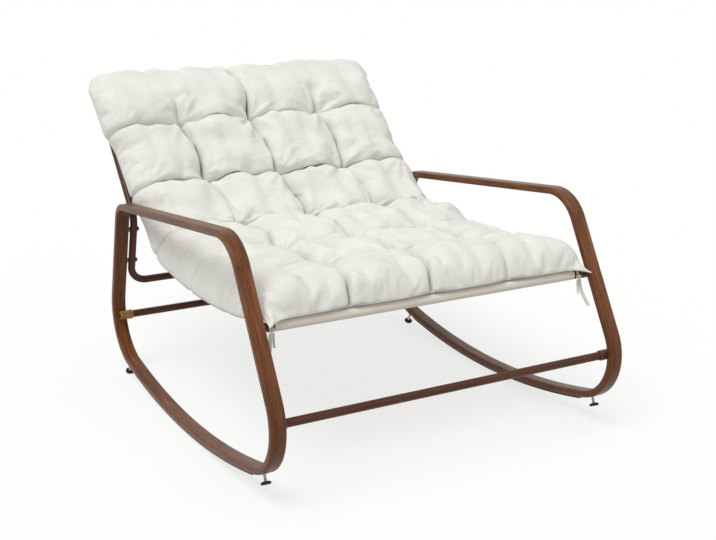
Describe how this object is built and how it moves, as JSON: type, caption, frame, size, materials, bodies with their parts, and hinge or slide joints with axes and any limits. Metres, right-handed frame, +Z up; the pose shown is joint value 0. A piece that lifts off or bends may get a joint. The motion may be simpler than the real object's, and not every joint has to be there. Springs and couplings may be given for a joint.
{
  "type": "outdoor rocking chair",
  "caption": "Low outdoor rocking chair: bent-tube rocker frames joined by round bars, a reclined back frame, a woven sling seat, a tufted cushion tied on, and threaded glides under the rockers.",
  "frame": {"origin": "on the floor under the middle of the chair", "axes": "+Z up, the sitter faces -Y, +X is to the right when looking along +Y"},
  "size_m": [1.04, 1.3992, 0.8722],
  "materials": {
    "wood_paint": "satin",
    "socket_paint": "satin",
    "black_steel": "satin",
    "zinc_steel": "satin",
    "rubber": "matte",
    "black_plastic": "matte",
    "sling_fabric": "matte",
    "cushion_fabric": "matte",
    "tie_fabric": "matte"
  },
  "bodies": {
    "chair": {"back_frame": "wood_paint", "back_lower_left_bolt": "black_steel", "back_lower_left_insert": "zinc_steel", "back_lower_left_spacer": "black_plastic", "back_lower_right_bolt": "black_steel", "back_lower_right_insert": "zinc_steel", "back_lower_right_spacer": "black_plastic", "back_upper_left_bolt": "black_steel", "back_upper_left_insert": "zinc_steel", "back_upper_left_spacer": "black_plastic", "back_upper_right_bolt": "black_steel", "back_upper_right_insert": "zinc_steel", "back_upper_right_spacer": "black_plastic", "cushion": "cushion_fabric", "front_crossbar": "wood_paint", "front_crossbar_left_bolt": "black_steel", "front_crossbar_left_socket": "socket_paint", "front_crossbar_right_bolt": "black_steel", "front_crossbar_right_socket": "socket_paint", "front_left_glide_insert": "zinc_steel", "front_right_glide_insert": "zinc_steel", "left_rocker_strip": "rubber", "left_side_frame": "wood_paint", "left_tie_knot": "tie_fabric", "left_tie_long_tail": "tie_fabric", "left_tie_short_tail": "tie_fabric", "rear_crossbar": "wood_paint", "rear_crossbar_left_bolt": "black_steel", "rear_crossbar_left_socket": "socket_paint", "rear_crossbar_right_bolt": "black_steel", "rear_crossbar_right_socket": "socket_paint", "rear_left_glide_insert": "zinc_steel", "rear_right_glide_insert": "zinc_steel", "right_rocker_strip": "rubber", "right_side_frame": "wood_paint", "right_tie_knot": "tie_fabric", "right_tie_long_tail": "tie_fabric", "right_tie_short_tail": "tie_fabric", "seat_bar": "wood_paint", "seat_bar_left_bolt": "black_steel", "seat_bar_left_socket": "socket_paint", "seat_bar_right_bolt": "black_steel", "seat_bar_right_socket": "socket_paint", "sling": "sling_fabric", "top_bar": "wood_paint", "top_bar_left_bolt": "black_steel", "top_bar_right_bolt": "black_steel", "upright_left_plug": "black_plastic", "upright_right_plug": "black_plastic"},
    "front_left_glide": {"front_left_glide_stem": "zinc_steel", "front_left_glide_pad": "rubber"},
    "front_right_glide": {"front_right_glide_stem": "zinc_steel", "front_right_glide_pad": "rubber"},
    "rear_left_glide": {"rear_left_glide_stem": "zinc_steel", "rear_left_glide_pad": "rubber"},
    "rear_right_glide": {"rear_right_glide_stem": "zinc_steel", "rear_right_glide_pad": "rubber"}
  },
  "joints": [
    {"name": "front_left_glide_screw", "type": "slide", "parent": "chair", "child": "front_left_glide", "axis": [0, -0.3987, -0.9171], "range_m": [-0.005, 0.006]},
    {"name": "front_right_glide_screw", "type": "slide", "parent": "chair", "child": "front_right_glide", "axis": [0, -0.3987, -0.9171], "range_m": [-0.005, 0.006]},
    {"name": "rear_left_glide_screw", "type": "slide", "parent": "chair", "child": "rear_left_glide", "axis": [0, 0.342, -0.9397], "range_m": [-0.005, 0.006]},
    {"name": "rear_right_glide_screw", "type": "slide", "parent": "chair", "child": "rear_right_glide", "axis": [0, 0.342, -0.9397], "range_m": [-0.005, 0.006]}
  ]
}
